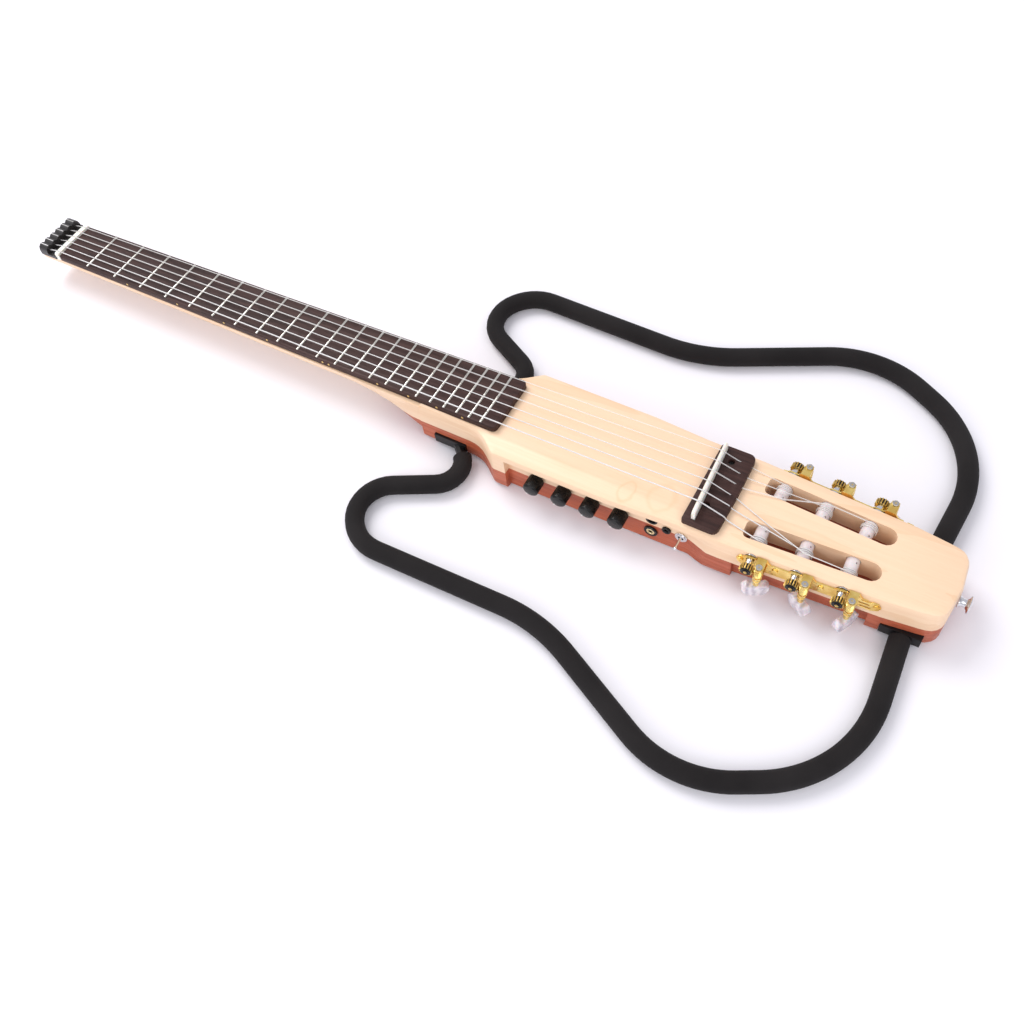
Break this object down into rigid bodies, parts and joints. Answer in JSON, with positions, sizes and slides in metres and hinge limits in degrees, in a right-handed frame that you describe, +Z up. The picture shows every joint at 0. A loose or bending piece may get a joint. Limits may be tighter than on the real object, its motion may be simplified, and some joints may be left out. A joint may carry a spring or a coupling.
{
  "type": "travel guitar",
  "caption": "Slim solid-body nylon-string travel guitar with tuners in the tail, side controls and two bent side frames with foam grips.",
  "frame": {"origin": "centre of the bounding box on the plane that the side frames lie on", "axes": "+X along the strings from the head towards the tail, +Y towards the treble side, +Z up through the top face"},
  "size_m": [0.8714, 0.404, 0.0584],
  "materials": {
    "maple": "clear satin lacquer",
    "mahogany": "oiled",
    "rosewood": "oiled",
    "ebony": "satin",
    "bone": "polished",
    "nylon": "clear and silvery",
    "gold": "gold plated",
    "dark_gear": "darkened",
    "cover_plastic": "fine texture",
    "circuit_board": "satin",
    "black_plastic": "gloss",
    "chrome": "polished",
    "black_steel": "black",
    "black_aluminium": "black anodised",
    "foam": "fine foam skin",
    "roller_plastic": "satin",
    "pearl": "pearly"
  },
  "bodies": {
    "guitar": {"maple_neck_body": "maple", "mahogany_back": "mahogany", "fingerboard": "rosewood", "truss_rod": "black_steel", "nut": "bone", "string_anchor_bar": "ebony", "string_1": "nylon", "string_2": "nylon", "string_3": "nylon", "string_4": "nylon", "string_5": "nylon", "string_6": "nylon", "bridge": "rosewood", "pickup_strip": "cover_plastic", "saddle": "bone", "tuner_plate_bass": "gold", "tuner_plate_treble": "gold", "preamp_board": "circuit_board", "headphone_jack": "black_plastic", "aux_jack": "black_plastic", "output_jack": "chrome", "toggle_switch": "chrome", "control_cover": "cover_plastic", "battery": "cover_plastic", "clamp_plate_heel": "black_steel", "clamp_plate_tail": "black_steel", "strap_button": "chrome"},
    "worm_unit_bass_1": {"worm_bass_1": "gold", "tuner_button_bass_1": "pearl"},
    "roller_unit_bass_1": {"string_roller_bass_1": "roller_plastic", "gear_wheel_bass_1": "dark_gear"},
    "worm_unit_bass_2": {"worm_bass_2": "gold", "tuner_button_bass_2": "pearl"},
    "roller_unit_bass_2": {"string_roller_bass_2": "roller_plastic", "gear_wheel_bass_2": "dark_gear"},
    "worm_unit_bass_3": {"worm_bass_3": "gold", "tuner_button_bass_3": "pearl"},
    "roller_unit_bass_3": {"string_roller_bass_3": "roller_plastic", "gear_wheel_bass_3": "dark_gear"},
    "worm_unit_treble_1": {"worm_treble_1": "gold", "tuner_button_treble_1": "pearl"},
    "roller_unit_treble_1": {"string_roller_treble_1": "roller_plastic", "gear_wheel_treble_1": "dark_gear"},
    "worm_unit_treble_2": {"worm_treble_2": "gold", "tuner_button_treble_2": "pearl"},
    "roller_unit_treble_2": {"string_roller_treble_2": "roller_plastic", "gear_wheel_treble_2": "dark_gear"},
    "worm_unit_treble_3": {"worm_treble_3": "gold", "tuner_button_treble_3": "pearl"},
    "roller_unit_treble_3": {"string_roller_treble_3": "roller_plastic", "gear_wheel_treble_3": "dark_gear"},
    "knob_unit_1": {"knob_1": "black_plastic"},
    "knob_unit_2": {"knob_2": "black_plastic"},
    "knob_unit_3": {"knob_3": "black_plastic"},
    "knob_unit_4": {"knob_4": "black_plastic"},
    "toggle_lever_unit": {"toggle_lever": "chrome"},
    "side_frame_unit_bass": {"side_frame_bass": "black_aluminium", "foam_grip_bass": "foam"},
    "side_frame_unit_treble": {"side_frame_treble": "black_aluminium", "foam_grip_treble": "foam"}
  },
  "joints": [
    {"name": "tuner_button_turn_bass_1", "type": "hinge", "parent": "guitar", "child": "worm_unit_bass_1", "pos_m": [0.29844, -0.04772, 0.03635], "axis": [0, 0, 1], "continuous": true},
    {"name": "roller_turn_bass_1", "type": "hinge", "parent": "guitar", "child": "roller_unit_bass_1", "pos_m": [0.28959, -0.03958, 0.03635], "axis": [-0.0538, 0.9986, 0], "continuous": true},
    {"name": "tuner_button_turn_bass_2", "type": "hinge", "parent": "guitar", "child": "worm_unit_bass_2", "pos_m": [0.33109, -0.04596, 0.03635], "axis": [0, 0, 1], "continuous": true},
    {"name": "roller_turn_bass_2", "type": "hinge", "parent": "guitar", "child": "roller_unit_bass_2", "pos_m": [0.32224, -0.03782, 0.03635], "axis": [-0.0538, 0.9986, 0], "continuous": true},
    {"name": "tuner_button_turn_bass_3", "type": "hinge", "parent": "guitar", "child": "worm_unit_bass_3", "pos_m": [0.36374, -0.0442, 0.03635], "axis": [0, 0, 1], "continuous": true},
    {"name": "roller_turn_bass_3", "type": "hinge", "parent": "guitar", "child": "roller_unit_bass_3", "pos_m": [0.35489, -0.03606, 0.03635], "axis": [-0.0538, 0.9986, 0], "continuous": true},
    {"name": "tuner_button_turn_treble_1", "type": "hinge", "parent": "guitar", "child": "worm_unit_treble_1", "pos_m": [0.29844, 0.04772, 0.03635], "axis": [0, 0, 1], "continuous": true},
    {"name": "roller_turn_treble_1", "type": "hinge", "parent": "guitar", "child": "roller_unit_treble_1", "pos_m": [0.28959, 0.03958, 0.03635], "axis": [0.0538, 0.9986, 0], "continuous": true},
    {"name": "tuner_button_turn_treble_2", "type": "hinge", "parent": "guitar", "child": "worm_unit_treble_2", "pos_m": [0.33109, 0.04596, 0.03635], "axis": [0, 0, 1], "continuous": true},
    {"name": "roller_turn_treble_2", "type": "hinge", "parent": "guitar", "child": "roller_unit_treble_2", "pos_m": [0.32224, 0.03782, 0.03635], "axis": [0.0538, 0.9986, 0], "continuous": true},
    {"name": "tuner_button_turn_treble_3", "type": "hinge", "parent": "guitar", "child": "worm_unit_treble_3", "pos_m": [0.36374, 0.0442, 0.03635], "axis": [0, 0, 1], "continuous": true},
    {"name": "roller_turn_treble_3", "type": "hinge", "parent": "guitar", "child": "roller_unit_treble_3", "pos_m": [0.35489, 0.03606, 0.03635], "axis": [0.0538, 0.9986, 0], "continuous": true},
    {"name": "knob_turn_1", "type": "hinge", "parent": "guitar", "child": "knob_unit_1", "pos_m": [0.11512, -0.04418, 0.02485], "axis": [0, 1, 0], "range_deg": [-140, 140]},
    {"name": "knob_turn_2", "type": "hinge", "parent": "guitar", "child": "knob_unit_2", "pos_m": [0.13899, -0.04371, 0.02485], "axis": [0, 1, 0], "range_deg": [-140, 140]},
    {"name": "knob_turn_3", "type": "hinge", "parent": "guitar", "child": "knob_unit_3", "pos_m": [0.16286, -0.04324, 0.02485], "axis": [0, 1, 0], "range_deg": [-140, 140]},
    {"name": "knob_turn_4", "type": "hinge", "parent": "guitar", "child": "knob_unit_4", "pos_m": [0.18673, -0.04277, 0.02485], "axis": [0, 1, 0], "range_deg": [-140, 140]},
    {"name": "toggle_tilt", "type": "hinge", "parent": "guitar", "child": "toggle_lever_unit", "pos_m": [0.23502, -0.03582, 0.02135], "axis": [0, 0, 1], "range_deg": [-12, 12]},
    {"name": "side_frame_slide_bass", "type": "slide", "parent": "guitar", "child": "side_frame_unit_bass", "axis": [0, -1, 0], "range_m": [0, 0.03]},
    {"name": "side_frame_slide_treble", "type": "slide", "parent": "guitar", "child": "side_frame_unit_treble", "axis": [0, 1, 0], "range_m": [0, 0.03]}
  ],
  "couplings": [
    {"joint": "roller_turn_bass_1", "follows": "tuner_button_turn_bass_1", "ratio": 0.071429},
    {"joint": "roller_turn_bass_2", "follows": "tuner_button_turn_bass_2", "ratio": 0.071429},
    {"joint": "roller_turn_bass_3", "follows": "tuner_button_turn_bass_3", "ratio": 0.071429},
    {"joint": "roller_turn_treble_1", "follows": "tuner_button_turn_treble_1", "ratio": 0.071429},
    {"joint": "roller_turn_treble_2", "follows": "tuner_button_turn_treble_2", "ratio": 0.071429},
    {"joint": "roller_turn_treble_3", "follows": "tuner_button_turn_treble_3", "ratio": 0.071429}
  ]
}
